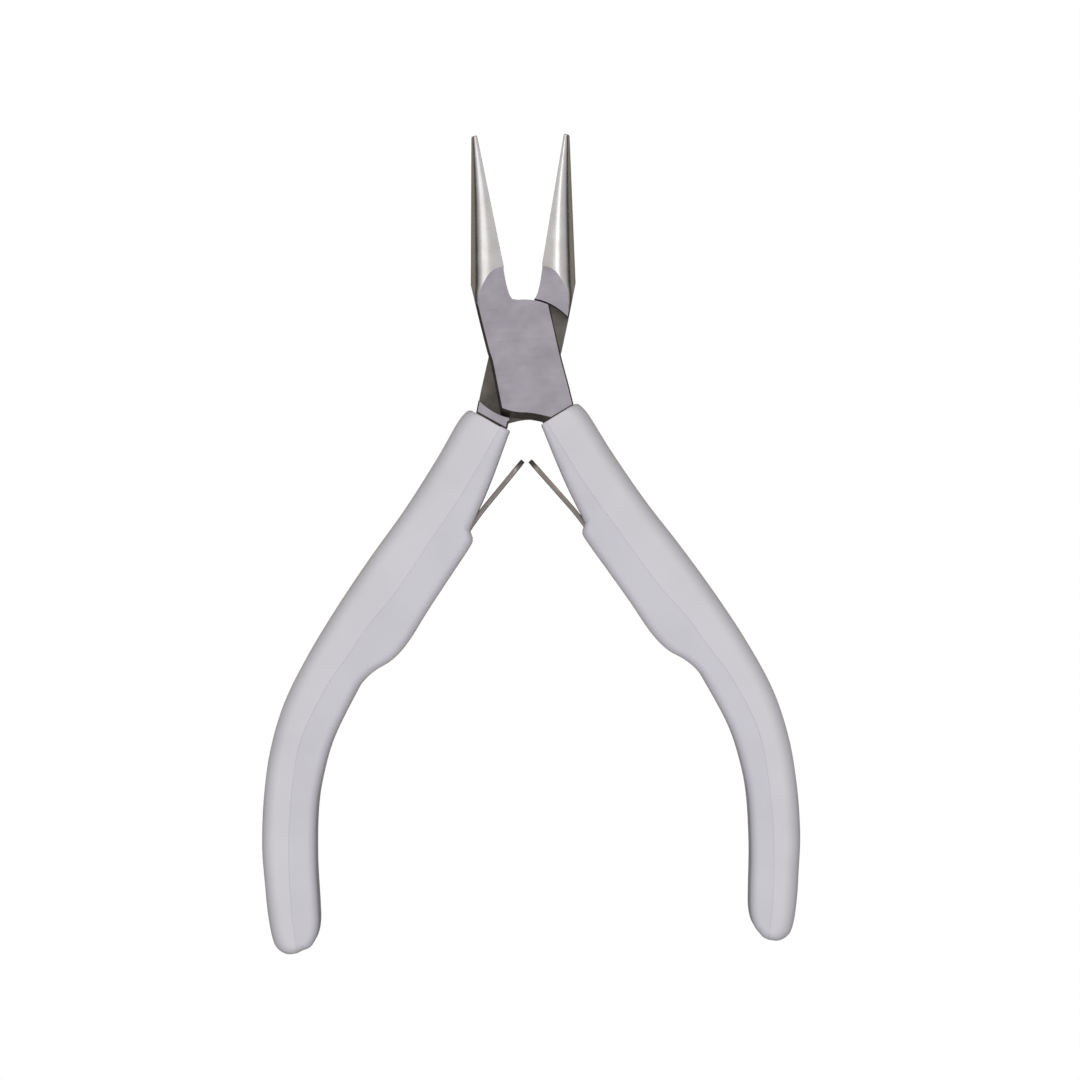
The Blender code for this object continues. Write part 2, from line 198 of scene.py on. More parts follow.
# %% The floor
FLOOR_SIDE = 0.13
sheet = bmesh.new()
under = Matrix.Translation((0.0, 0.0, cad_low.z))
bmesh.ops.create_grid(sheet, x_segments=1, y_segments=1, size=0.5 * FLOOR_SIDE, matrix=under)
floor_mesh = bpy.data.meshes.new("floor")
sheet.to_mesh(floor_mesh)
sheet.free()
floor = bpy.data.objects.new("floor", floor_mesh)
bpy.context.scene.collection.objects.link(floor)
pale = bpy.data.materials.new("pale_floor")
pale.use_nodes = True
nodes, links = pale.node_tree.nodes, pale.node_tree.links
nodes.clear()
matt = nodes.new("ShaderNodeBsdfDiffuse")
matt.label = "grey paper for the light"
matt.inputs["Color"].default_value = (0.36, 0.33, 0.28, 1.0)
white = nodes.new("ShaderNodeEmission")
white.label = "white to look at"
seen = nodes.new("ShaderNodeLightPath")
seen.label = "looked at directly?"
choice = nodes.new("ShaderNodeMixShader")
choice.label = "white or grey"
output = nodes.new("ShaderNodeOutputMaterial")
for column, node in enumerate([matt, white, seen, choice, output]):
    node.location = (220 * column, 0)
links.new(seen.outputs["Is Camera Ray"], choice.inputs["Fac"])
links.new(matt.outputs["BSDF"], choice.inputs[1])
links.new(white.outputs["Emission"], choice.inputs[2])
links.new(choice.outputs["Shader"], output.inputs["Surface"])
floor_mesh.materials.append(pale)
print("floor at", round(1000 * cad_low.z, 1), "mm")

# %% [markdown]
# Steel comes in three finishes here. The joint's flats are ground on a belt, so they carry fine straight
# scratches. The jaws are turned and polished, smoother and brighter. The recesses that the plates turn
# in are milled and stay dull and brownish. Their colour is also darkened as painted shade, for the shade
# that falls in the pockets, and the chamfers and broken edges take the same colour. All three are one
# make-up: a metallic shader whose roughness and height follow a noise that is stretched along the grain,
# and whose colour follows a broad, faint tarnish. An image of scratches would repeat and blur close up; a
# noise in Object coordinates doesn't.


# %% Steel finishes
def steel_finish(name, colour, tarnish, roughness, grain, depth):
    """A steel surface. The grain's scale is given along X, Y and Z, in waves a metre."""
    finish = bpy.data.materials.new(name)
    finish.use_nodes = True
    nodes, links = finish.node_tree.nodes, finish.node_tree.links
    nodes.clear()
    place = nodes.new("ShaderNodeTexCoord")
    place.label = "place on the piece"
    place.location = (-1200, 0)

    scratches = nodes.new("NodeFrame")
    scratches.label = "fine scratches"
    stretch = nodes.new("ShaderNodeMapping")
    stretch.label = "stretched along the grain"
    stretch.location = (-980, -200)
    stretch.inputs["Scale"].default_value = grain
    lines = nodes.new("ShaderNodeTexNoise")
    lines.label = "scratch lines"
    lines.location = (-760, -200)
    lines.inputs["Scale"].default_value = 1.0
    lines.inputs["Detail"].default_value = 6.0
    lines.inputs["Roughness"].default_value = 0.65
    gloss = nodes.new("ShaderNodeMapRange")
    gloss.label = "scratches are duller"
    gloss.location = (-520, -120)
    gloss.inputs["From Min"].default_value = 0.3
    gloss.inputs["From Max"].default_value = 0.7
    gloss.inputs["To Min"].default_value = 0.85 * roughness
    gloss.inputs["To Max"].default_value = 1.2 * roughness
    relief = nodes.new("ShaderNodeBump")
    relief.label = "scratches have depth"
    relief.location = (-300, -360)
    relief.inputs["Strength"].default_value = 0.35
    relief.inputs["Distance"].default_value = depth
    for node in (stretch, lines, gloss, relief):
        node.parent = scratches

    stains = nodes.new("NodeFrame")
    stains.label = "tarnish"
    clouds = nodes.new("ShaderNodeTexNoise")
    clouds.label = "broad clouds"
    clouds.location = (-760, 260)
    clouds.inputs["Scale"].default_value = 320.0
    clouds.inputs["Detail"].default_value = 5.0
    amount = nodes.new("ShaderNodeMapRange")
    amount.label = "how tarnished"
    amount.location = (-520, 260)
    amount.inputs["From Min"].default_value = 0.35
    amount.inputs["From Max"].default_value = 0.75
    tint = nodes.new("ShaderNodeMix")
    tint.label = "clean to tarnished"
    tint.data_type = "RGBA"
    tint.location = (-300, 260)
    tint.inputs["A"].default_value = (*colour, 1.0)
    tint.inputs["B"].default_value = (*tarnish, 1.0)
    for node in (clouds, amount, tint):
        node.parent = stains

    shader = nodes.new("ShaderNodeBsdfPrincipled")
    shader.label = "bare steel"
    shader.location = (0, 0)
    shader.inputs["Metallic"].default_value = 1.0
    output = nodes.new("ShaderNodeOutputMaterial")
    output.label = "finished steel"
    output.location = (280, 0)
    links.new(place.outputs["Object"], stretch.inputs["Vector"])
    links.new(stretch.outputs["Vector"], lines.inputs["Vector"])
    links.new(lines.outputs["Fac"], gloss.inputs["Value"])
    links.new(lines.outputs["Fac"], relief.inputs["Height"])
    links.new(place.outputs["Object"], clouds.inputs["Vector"])
    links.new(clouds.outputs["Fac"], amount.inputs["Value"])
    links.new(amount.outputs["Result"], tint.inputs["Factor"])
    links.new(tint.outputs["Result"], shader.inputs["Base Color"])
    links.new(gloss.outputs["Result"], shader.inputs["Roughness"])
    links.new(relief.outputs["Normal"], shader.inputs["Normal"])
    links.new(shader.outputs["BSDF"], output.inputs["Surface"])
    return finish


ground_steel = steel_finish(
    "ground_steel", colour=(0.57, 0.54, 0.58), tarnish=(0.44, 0.42, 0.45),
    roughness=0.3, grain=(160, 3800, 900), depth=2.5e-5)
turned_steel = steel_finish(
    "turned_steel", colour=(0.8, 0.79, 0.77), tarnish=(0.7, 0.68, 0.65),
    roughness=0.24, grain=(2600, 300, 2600), depth=4e-6)
# The milled colour is partly painted shade: dull brownish milled steel, darkened further to stand in for
# the shade in the recesses.
milled_steel_with_painted_shade = steel_finish(
    "milled_steel_with_painted_shade", colour=(0.25, 0.23, 0.205), tarnish=(0.13, 0.12, 0.105),
    roughness=0.4, grain=(1500, 1500, 1500), depth=2e-5)
spring_steel = steel_finish(
    "spring_steel", colour=(0.36, 0.33, 0.3), tarnish=(0.26, 0.23, 0.2),
    roughness=0.32, grain=(400, 400, 3000), depth=6e-6)
steel_finishes = [ground_steel, turned_steel, milled_steel_with_painted_shade]
# The third index takes the milled colour with its painted shade: recesses, holes, chamfers and broken
# edges.
GROUND, TURNED, MILLED_WITH_PAINTED_SHADE = range(3)
print("steel finishes:", [finish.name for finish in steel_finishes + [spring_steel]])

# %% [markdown]
# Every piece starts as a line on paper: straight runs, arcs about the pivot, and soft curves through a
# few chosen points. A soft curve is a Catmull-Rom spline, which passes through all its points.


# %% Lines
def arc(radius, start, end, steps):
    """Points about the pivot, from one angle to another, in degrees."""
    angles = [math.radians(start + (end - start) * i / steps) for i in range(steps + 1)]
    return [Vector((radius * math.cos(a), radius * math.sin(a))) for a in angles]


def soft_line(points, steps):
    """A smooth line through the points, each stretch cut into the same number of steps."""
    places = [Vector(point) for point in points]
    ends = [2 * places[0] - places[1], *places, 2 * places[-1] - places[-2]]
    line = []
    for before, here, there, after in zip(ends, ends[1:], ends[2:], ends[3:]):
        for i in range(steps):
            t = i / steps
            speed = (there - before) * t
            bend = (2 * before - 5 * here + 4 * there - after) * t**2
            twist = (3 * here - before - 3 * there + after) * t**3
            line.append(here + 0.5 * (speed + bend + twist))
    return [*line, places[-1]]


def quarter(steps):
    """The angles of a quarter turn, in even steps."""
    return [0.5 * math.pi * i / steps for i in range(steps + 1)]


print("a soft line of 3 points has", len(soft_line([(0, 0), (1, 1), (2, 0)], 8)), "points")

# %% [markdown]
# Three ways of making a solid serve the whole tool. A plate is an outline extruded to its thickness. A
# turned piece is a profile spun about an axis. A loft is a row of cross-sections bridged one to the
# next, for shapes that no single extrusion gives.


# %% Solids
def plate(outline, low, high, finish=0):
    """A flat outline, extruded from one height to another."""
    shape = bmesh.new()
    face = shape.faces.new([shape.verts.new((x, y, low)) for x, y in outline])
    grown = bmesh.ops.extrude_face_region(shape, geom=[face])
    top = [item for item in grown["geom"] if isinstance(item, bmesh.types.BMVert)]
    bmesh.ops.translate(shape, vec=(0.0, 0.0, high - low), verts=top)
    bmesh.ops.recalc_face_normals(shape, faces=shape.faces)
    for face in shape.faces:
        face.material_index = finish
    return shape


def turned(profile, finish=0, steps=96):
    """A profile of (radius, height) points spun about Z."""
    shape = bmesh.new()
    corners = [shape.verts.new((radius, 0.0, height)) for radius, height in profile]
    rim = [shape.edges.new(pair) for pair in zip(corners, corners[1:])]
    whole = {"angle": 2 * math.pi, "steps": steps, "use_merge": True}
    bmesh.ops.spin(shape, geom=corners + rim, axis=(0, 0, 1), cent=(0, 0, 0), **whole)
    bmesh.ops.remove_doubles(shape, verts=shape.verts, dist=1e-5)
    bmesh.ops.recalc_face_normals(shape, faces=shape.faces)
    for face in shape.faces:
        face.material_index = finish
    return shape


def loft(sections, finish=0):
    """A closed solid through a row of closed cross-sections with equal numbers of points."""
    shape = bmesh.new()
    loops = []
    for section in sections:
        corners = [shape.verts.new(place) for place in section]
        loops.append([shape.edges.new(pair) for pair in zip(corners, corners[1:] + corners[:1])])
    for here, there in zip(loops, loops[1:]):
        bmesh.ops.bridge_loops(shape, edges=here + there)
    for end in (loops[0], loops[-1]):
        bmesh.ops.edgeloop_fill(shape, edges=end)
    bmesh.ops.recalc_face_normals(shape, faces=shape.faces)
    for face in shape.faces:
        face.material_index = finish
    return shape


disc = turned([(0, 0), (1, 0), (1, 1), (0, 1)])
print("a disc has", len(disc.faces), "faces")
disc.free()

# %% [markdown]
# Solids are cut and joined with Boolean modifiers, all on one object, and the result is kept as its
# mesh. The exact solver keeps each face's finish, so a cutter's finish marks what it has cut. Where two
# finishes meet, or the surface turns sharply, the edge stays crisp, and everything else is shaded
# smooth. A Weighted Normal modifier keeps the large flats looking flat beside their small chamfers.


# %% Cutting and placing
CREASE_ANGLE = math.radians(30)


def stand(name, shape, finishes):
    """Makes an object of a shape, in the scene, and lets the shape go."""
    mesh = bpy.data.meshes.new(name)
    shape.to_mesh(mesh)
    shape.free()
    for finish in finishes:
        mesh.materials.append(finish)
    piece = bpy.data.objects.new(name, mesh)
    bpy.context.scene.collection.objects.link(piece)
    return piece


def carve(piece, steps):
    """Cuts or joins the piece with each tool in turn, keeps the result and removes the tools."""
    tools = []
    for shape, operation in steps:
        tool = stand("tool", shape, piece.data.materials)
        change = piece.modifiers.new("cut", "BOOLEAN")
        change.operation = operation
        change.object = tool
        tools.append(tool)
    evaluated = piece.evaluated_get(bpy.context.evaluated_depsgraph_get())
    carved = bpy.data.meshes.new_from_object(evaluated)
    piece.modifiers.clear()
    rough, piece.data = piece.data, carved
    bpy.data.meshes.remove(rough)
    for tool in tools:
        form = tool.data
        bpy.data.objects.remove(tool)
        bpy.data.meshes.remove(form)


def finish_off(piece, place, body, slot, *nodes):
    """Puts a piece in place, shades it, and lets it ride in place of its CAD nodes."""
    shape = bmesh.new()
    shape.from_mesh(piece.data)
    bmesh.ops.remove_doubles(shape, verts=shape.verts, dist=1e-4)
    bmesh.ops.transform(shape, matrix=place, verts=shape.verts)
    for face in shape.faces:
        face.smooth = True
    for edge in shape.edges:
        sides = edge.link_faces
        if len(sides) == 2:
            same = sides[0].material_index == sides[1].material_index
            edge.smooth = same and edge.calc_face_angle() < CREASE_ANGLE
    shape.to_mesh(piece.data)
    shape.free()
    even = piece.modifiers.new("even_shading", "WEIGHTED_NORMAL")
    even.keep_sharp = True
    if body:
        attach(piece, body)
    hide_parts(*nodes)
    print(piece.name, "has", len(piece.data.polygons), "faces")


print("edges sharper than", round(math.degrees(CREASE_ANGLE)), "degrees stay crisp")

# %% [markdown]
# A steel half is forged flat and then machined: its outline is milled, its jaw is ground half-round,
# a round recess lets the other half's plate turn, and its edges are broken. The model follows the same
# order. The blank is an extruded outline. Its long edges are broken with a bevel, and two runs of its
# front edge get a broader chamfer, cut by a wedge that follows the edge, because a bevel has one width.

# %% The blank of a steel half
PLATE_TOP_RADIUS = 8.6
PLATE_LOW_RADIUS = 9.3
EDGE_BREAK = 0.2
WEDGE_SPARE = 0.2
BEYOND = 1.0

# The mouth is the gap between the jaws. Its corners stay crisp, because the jaws' inner faces are ground.
FACE_X = -0.38
FACE_END = 14.3
MOUTH_FROM = 6.9
MOUTH_X = -1.0

# The blank is larger than the jaw all round, and the jaw's own form cuts it to shape.
BLANK_TIP = 36.0
BLANK_ROOT = 15.0
BLANK_SIDE = -6.2

# The left grip sits a little lower on its handle than the right one, and so does the shoulder above it.
SHOULDER_DROP = {"right": 0.0, "left": 0.85}
plate_foot = [Vector(place) for place in ((0.8, -10.1), (0.1, -9.78), (-0.8, -9.42))]
plate_foot += arc(PLATE_LOW_RADIUS, -100, -124, 18)
flank_low = [(-5.2, -7.71), (-5.15, 0.3), (-5.35, 1.9)]
flank_high = [(-5.58, 6.6), (-5.72, 10.8), (-5.78, 12.4)]
plate_flank = [Vector(place) for place in flank_low + flank_high]


def half_outline(drop):
    """A steel half seen from the front, down to the shoulder that meets the grip."""
    mouth = [(0.0, BLANK_TIP), (0.0, BLANK_ROOT), (FACE_X, FACE_END)]
    fillet = [(-0.33, 9.5), (-0.2, 9.12), (-0.04, 8.85), (0.34, 8.72), (0.75, 8.57)]
    crotch = soft_line([(-0.47, 13.6), (-0.5, 12.4), (-0.5, 11.2), (-0.43, 10.1), *fillet], 4)
    top = arc(PLATE_TOP_RADIUS, 83, 53, 22)
    shoulder = [(5.4, -1.0), (5.7, -6.0), (5.8, -8.55 - drop), (0.9, -10.28 - drop)]
    corner = [(BLANK_SIDE, BLANK_ROOT), (BLANK_SIDE, BLANK_TIP)]
    return [*mouth, *crotch, *top, *shoulder, *plate_foot, *plate_flank[1:], *corner]


def blank(drop):
    """The outline at full thickness, with its long edges broken."""
    shape = plate(half_outline(drop), -HALF_THICKNESS, HALF_THICKNESS, GROUND)
    rims = []
    for edge in shape.edges:
        here, there = edge.verts[0].co, edge.verts[1].co
        top_y = max(here.y, there.y)
        level = abs(here.z - there.z) < 0.01
        in_mouth = min(here.x, there.x) > MOUTH_X and top_y > MOUTH_FROM
        if level and not in_mouth and top_y < FACE_END + BEYOND:
            rims.append(edge)
    cut = {"affect": "EDGES", "segments": 1, "profile": 0.5, "material": -1}
    broken = bmesh.ops.bevel(shape, geom=rims, offset=EDGE_BREAK, **cut)
    for face in broken["faces"]:
        face.material_index = MILLED_WITH_PAINTED_SHADE
    return shape


def chamfer(path, size):
    """The wedge that cuts a chamfer along a run of the top edge, with the half on the path's right."""
    before = path[0] + (path[0] - path[1]).normalized() * size
    after = path[-1] + (path[-1] - path[-2]).normalized() * size
    run = [before, *path[1:-1], after]
    spare = WEDGE_SPARE * size
    sections = []
    for i, place in enumerate(run):
        along = (run[min(i + 1, len(run) - 1)] - run[max(i - 1, 0)]).normalized()
        inward = Vector((along.y, -along.x))
        inner = (*(place + inward * (size + spare)), HALF_THICKNESS + spare)
        lower = (*(place - inward * spare), HALF_THICKNESS - size - spare)
        outer = (*(place - inward * size), HALF_THICKNESS + size)
        sections.append([inner, lower, outer])
    return loft(sections, MILLED_WITH_PAINTED_SHADE)


print("the outline has", len(half_outline(0.0)), "points")

# %% [markdown]
# A jaw is a slim cone with a flat inner face, so its section is a D. Towards the joint the D grows
# squarer, and the flat of the joint cuts it off in a curved line. Spinning a profile would give a true
# cone, but only with one roundness from tip to root. A loft lets each section have its own fullness: a
# superellipse of power 2 is part of an ellipse, and higher powers have squarer shoulders. Below the jaw
# the form swells into a block round the joint, and what the blank shares with it is the finished jaw.

# %% The form of a jaw
TIP_Y = 34.3
TIP_OUTER = -1.25
TIP_TOP = 0.9
TIP_ROUND = 0.14
CONE_SLOPE = 0.2067
RIDGE_ROUND = 0.12
FLARE = 0.6
BLOCK_TOP = 7.8
BLOCK_SIZE = 14.0
BLOCK_FULLNESS = 3.0
BLOCK_LOW = -1.5 * BLOCK_SIZE
# Each section of the cone and of its root has a height along the jaw, a half thickness and a fullness.
cone = [(TIP_Y - TIP_ROUND, TIP_TOP, 2.0), (29.0, 1.8, 2.15), (24.0, 2.6, 2.35)]
cone += [(19.0, 3.28, 2.6), (15.5, 3.76, 2.85)]
root = [(13.8, 4.02, 3.0), (12.3, 4.25, 3.25), (10.9, 4.46, 3.7), (9.5, 4.67, 3.6), (8.2, 4.86, 3.2)]


def jaw_section(y, outer, top, fullness, shrunk=0.0):
    """A D: flat towards the other jaw, rounded away from it; a fuller one has squarer shoulders."""
    inner = FACE_X - shrunk + max(FACE_END - y, 0.0) * FLARE
    outer += shrunk
    top -= shrunk
    crown = FACE_X - 1.5 * RIDGE_ROUND
    power = 2 / fullness
    upper = []
    for a in quarter(5):
        upper.append((inner - RIDGE_ROUND * (1 - math.cos(a)), top - RIDGE_ROUND * (1 - math.sin(a))))
    for a in quarter(32):
        upper.append((crown + (outer - crown) * math.sin(a) ** power, top * max(math.cos(a), 0.0) ** power))
    lower = [(x, -z) for x, z in reversed(upper[:-1])]
    return [(x, y, z) for x, z in upper + lower]


def jaw_form():
    """The cone, the cut where it meets the joint, and a block that holds the rest of the half."""
    sections = []
    for a in reversed(quarter(4)[1:]):
        y = TIP_Y - TIP_ROUND * (1 - math.sin(a))
        sections.append(jaw_section(y, TIP_OUTER, TIP_TOP, cone[0][2], TIP_ROUND * (1 - math.cos(a))))
    for y, top, fullness in soft_line(cone + root, 4):
        sections.append(jaw_section(y, TIP_OUTER - CONE_SLOPE * (TIP_Y - y), top, fullness))
    block = jaw_section(BLOCK_TOP, -BLOCK_SIZE, BLOCK_SIZE, BLOCK_FULLNESS)
    widened = [(x + (BLOCK_SIZE if x > MOUTH_X else 0.0), z) for x, y, z in block]
    for y in (BLOCK_TOP, BLOCK_LOW):
        sections.append([(x, y, z) for x, z in widened])
    return loft(sections, TURNED)


trial = jaw_form()
print("the jaw's form has", len(trial.faces), "faces")
trial.free()

# %% [markdown]
# The back of each half is milled away to half its thickness, in a round pocket that is a little larger
# than the other half's plate, and the neck is stepped down beside it. Inside the grip the half goes on
# as a flat bar, the tang. The tang's outline is also the outline of the slot in the grip, so one
# function draws both: grown a little, it leaves the slot its play.

# %% Recess and tang
RECESS_TOP_RADIUS = 8.85
RECESS_LOW_RADIUS = 9.5
PLATE_PLAY = 0.05
TANG_HALF = 2.6
NECK_STEP_LEFT, NECK_STEP_RIGHT = -2.5, 0.75
NECK_STEP_LOW, NECK_STEP_TOP = -12.5, -9.0


def recess():
    """The round pocket in which the other half's plate turns, a little wider at its mouth."""
    outline = [*arc(RECESS_TOP_RADIUS, 0, 180, 96), *arc(RECESS_LOW_RADIUS, 180, 360, 96)]
    return plate(outline, -HALF_THICKNESS - BEYOND, PLATE_PLAY, MILLED_WITH_PAINTED_SHADE)


def neck_step():
    """The cut that leaves the inner side of the neck at half thickness."""
    lower = [(NECK_STEP_LEFT, NECK_STEP_LOW), (NECK_STEP_RIGHT, NECK_STEP_LOW)]
    outline = [*lower, (NECK_STEP_RIGHT, NECK_STEP_TOP), (NECK_STEP_LEFT, NECK_STEP_TOP)]
    return plate(outline, -HALF_THICKNESS - BEYOND, PLATE_PLAY, MILLED_WITH_PAINTED_SHADE)


def tang_outline(grown):
    """The flat bar inside the grip. Grown, it is the slot that the grip has for it."""
    outer = [(5.6, -7.9), (6.4, -12.5), (8.4, -20.0), (12.2, -31.0), (16.0, -39.5), (19.5, -46.5)]
    outer += [(22.8, -54.0), (24.9, -62.0), (25.3, -68.5), (24.9, -75.0), (23.9, -81.5)]
    inner = [(21.5, -81.5), (22.1, -75.0), (22.3, -68.5), (21.7, -61.5), (19.6, -55.0), (16.6, -48.5)]
    inner += [(12.6, -43.0), (10.5, -39.3), (8.7, -35.2), (6.9, -31.2), (5.9, -27.4), (4.9, -21.8)]
    inner += [(3.3, -14.0), (1.3, -9.2)]
    right = [(x + grown, y) for x, y in soft_line(outer, 4)]
    left = [(x - grown, y) for x, y in soft_line(inner, 4)]
    if not grown:
        return right + left
    mouth = [(left[-1][0], right[0][1] + BEYOND), (right[0][0], right[0][1] + BEYOND)]
    end = [(right[-1][0], right[-1][1] - grown), (left[0][0], left[0][1] - grown)]
    return right + end + left + mouth


print("the tang has", len(tang_outline(0.0)), "points")

# %% [markdown]
# The screw comes in from the back. Its head lies flush in a seat, its shank is the bearing of the back
# half, and its thread ends blind in the front half, so the front shows no hole. Both holes are cutters
# here, turned from the screw's own sizes with a little play added.

# %% The holes for the pivot screw
HEAD_RADIUS = 3.5
HEAD_HEIGHT = 1.4
SHANK_RADIUS = 2.5
HEAD_PLAY = 0.06
SHANK_PLAY = 0.03
SEAT_PLAY = 0.1
BLIND_RADIUS = 2.1
BLIND_TOP = 3.0
outside = HALF_THICKNESS + BEYOND
seat_radius = HEAD_RADIUS + HEAD_PLAY
shank_hole = SHANK_RADIUS + SHANK_PLAY
seat_depth = HALF_THICKNESS - HEAD_HEIGHT - SEAT_PLAY
seat = [(0.0, outside), (seat_radius, outside), (seat_radius, seat_depth)]
bearing = [(shank_hole, seat_depth), (shank_hole, -BEYOND), (0.0, -BEYOND)]
through_hole = turned(seat + bearing, MILLED_WITH_PAINTED_SHADE)
blind_end = [(0.0, BLIND_TOP), (BLIND_RADIUS, BLIND_TOP)]
blind_hole = turned([*blind_end, (BLIND_RADIUS, -BEYOND), (0.0, -BEYOND)], MILLED_WITH_PAINTED_SHADE)
print("the screw's seat is", 2 * seat_radius, "mm wide and its bearing", 2 * shank_hole, "mm")

# %% [markdown]
# Now one half can be machined. What the blank shares with the jaw's form is kept, the tang is joined on,
# and the recess, the neck's step, the hole and two broad chamfers are cut. The same function makes the
# back half, which is the same forging turned over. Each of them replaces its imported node.

# %% The two halves
FOOT_CHAMFER = 0.95  # along the foot of the plate, where it meets the handles
FLANK_CHAMFER = 0.4  # along the plate's long side


def steel_half(name, place, drop, hole, body):
    """Machines one half: jaw, recess, tang, chamfers and the hole on its side of the pivot."""
    half = stand(name, blank(drop), steel_finishes)
    tang = plate(tang_outline(0.0), -TANG_HALF, TANG_HALF, MILLED_WITH_PAINTED_SHADE)
    cuts = [recess(), neck_step(), hole]
    cuts += [chamfer(plate_foot, FOOT_CHAMFER), chamfer(plate_flank, FLANK_CHAMFER)]
    steps = [(jaw_form(), "INTERSECT"), (tang, "UNION")]
    steps += [(cut, "DIFFERENCE") for cut in cuts]
    carve(half, steps)
    finish_off(half, place, body, "joint_steel", name.replace("_steel", ""))


steel_half("front_half_steel", front_place, SHOULDER_DROP["right"], blind_hole, "front_side")
steel_half("back_half_steel", back_place, SHOULDER_DROP["left"], through_hole, "back_side")

# %% [markdown]
# The screw is a turned piece, so one profile is spun about its axis. Two small blind holes in its head
# take a pin spanner. A slot would be simpler, but a slotted head this thin would lose its strength.

# %% The pivot screw
THREAD_RADIUS = 2.0
THREAD_TOP = 2.7
THREAD_LEAD = 0.3
SHANK_TOP = -0.15
HEAD_BREAK = 0.2
SPANNER_SPREAD = 2.2
SPANNER_HOLE = [(0.0, 0.9), (0.4, 0.8), (0.5, 0.6), (0.5, -BEYOND), (0.0, -BEYOND)]


def pivot_screw():
    """The screw, head down, in the frame of the front half that it turns with."""
    back = -HALF_THICKNESS
    under_head = back + HEAD_HEIGHT
    profile = [(0.0, THREAD_TOP), (THREAD_RADIUS - THREAD_LEAD, THREAD_TOP)]
    profile += [(THREAD_RADIUS, THREAD_TOP - THREAD_LEAD), (THREAD_RADIUS, SHANK_TOP)]
    profile += [(SHANK_RADIUS, SHANK_TOP), (SHANK_RADIUS, under_head), (HEAD_RADIUS, under_head)]
    profile += [(HEAD_RADIUS, back + HEAD_BREAK), (HEAD_RADIUS - HEAD_BREAK, back), (0.0, back)]
    screw = stand("pivot_screw_steel", turned(profile, TURNED), steel_finishes)
    holes = []
    for side in (-1, 1):
        hole = turned(SPANNER_HOLE, MILLED_WITH_PAINTED_SHADE, 32)
        bmesh.ops.translate(hole, vec=(SPANNER_SPREAD * side, 0.0, back), verts=hole.verts)
        holes.append((hole, "DIFFERENCE"))
    carve(screw, holes)
    finish_off(screw, front_place, "front_side", "joint_steel", "pivot_screw")


pivot_screw()

# %% [markdown]
# Each grip is two mouldings that meet in a seam along the top of the handle. The seam and the free edge
# of each moulding are soft lines. All four mouldings come from these three lines: the two sides differ
# only in how far the grip is pushed on, and in where the free edge of the insert lies.

# %% The lines of a grip
SEAM_GAP = 0.005
HEEL_END = Vector((19.0, -94.1))
INSERT_SHIFT = {"right": Vector((0.3, 0.0)), "left": Vector((-0.3, 0.0))}
GRIP_SLIDE = {"right": Vector((-0.4, 1.0)), "left": Vector((0.15, 0.2))}


def seam_line():
    """The seam, from the front of the grip to a little short of its heel."""
    upper = [(1.6, -11.1), (5.6, -21.7), (9.2, -29.6), (13.1, -38.1), (16.5, -44.0), (18.6, -48.6)]
    lower = [(21.2, -54.1), (23.4, -61.4), (23.8, -67.1), (23.4, -73.4), (22.6, -79.6), (21.0, -87.1)]
    return soft_line([*upper, *lower, (19.52, -92.17)], 16)


def shell_edge():
    """The outer edge of the handle, round the heel to the seam."""
    upper = [(6.5, -9.4), (7.15, -9.75), (8.25, -11.7), (10.45, -17.6), (13.9, -25.7), (17.85, -33.7)]
    middle = [(21.55, -41.8), (24.75, -49.8), (27.1, -57.5), (28.0, -65.0), (27.75, -72.4)]
    lower = [(26.8, -79.5), (25.45, -85.0)]
    heel = [(24.55, -88.4), (23.6, -91.3), (22.85, -93.0), (22.15, -93.9), (21.2, -94.4), (20.2, -94.5)]
    return soft_line([*upper, *middle, *lower, *heel, HEEL_END], 10)


def insert_edge(shift):
    """The inner edge: the lip above the spring, the notch under it, the swelling and the waist.

    It ends a hair short of the shell's end, so that their end faces don't lie in one plane.
    """
    lip = [(0.55, -11.5), (0.76, -12.4), (1.05, -14.0), (1.77, -17.8), (2.58, -21.5), (3.5, -25.0)]
    lip.append((4.1, -27.2))
    swell = [(3.5, -28.3), (3.65, -29.6), (6.15, -35.2), (8.42, -40.3), (10.5, -45.3), (12.35, -48.3)]
    waist = [(14.6, -50.3), (16.15, -52.2), (17.0, -54.1), (19.25, -61.5), (19.95, -67.5), (19.85, -72.7)]
    heel = [(18.8, -79.8), (17.35, -86.4), (16.8, -89.3), (16.88, -91.4), (17.5, -92.85)]
    body = [Vector(place) + shift for place in swell + waist + heel]
    end = [Vector((18.3, -93.6)), HEEL_END - 2 * Vector((SEAM_GAP, 0.0))]
    return [place + shift for place in soft_line(lip, 8)] + soft_line(body + end, 8)


print("the seam has", len(seam_line()), "points and the shell's edge", len(shell_edge()))

# %% [markdown]
# A moulding is a loft: its two rails are the seam and its free edge, and each slice runs from one to the
# other, flat on top with a large soft radius at the edge. Each slice starts at the point of the seam
# nearest to it, so it lies square to the handle, and round the heel the slices fan out. Extruding the
# outline and bevelling it would fail at the tight corners, where the radius is larger than the corner.


# %% Measuring along a rail
def lengths(rail):
    """How far along the rail each of its points lies."""
    marks = [0.0]
    for here, there in zip(rail, rail[1:]):
        marks.append(marks[-1] + (there - here).length)
    return marks


def nearest_mark(rail, marks, place):
    """How far along the rail the point nearest to a place lies."""
    best = (1e9, 0.0)
    for here, there, mark in zip(rail, rail[1:], marks):
        foot, share = intersect_point_line(place, here, there)
        share = min(max(share, 0.0), 1.0)
        foot = here.lerp(there, share)
        best = min(best, ((place - foot).length, mark + share * (there - here).length))
    return best[1]


def at_mark(rail, marks, mark):
    """The point that lies so far along the rail."""
    for here, there, start, end in zip(rail, rail[1:], marks, marks[1:]):
        if mark <= end:
            return here.lerp(there, (mark - start) / (end - start))
    return rail[-1].copy()


print("the seam is", round(lengths(seam_line())[-1], 1), "mm long")

# %% Mouldings
SEAM_EDGE = 0.03
TOP_ROUND = 0.35
EVEN_SHARE = 0.03
WIDEST_BEND = 0.75


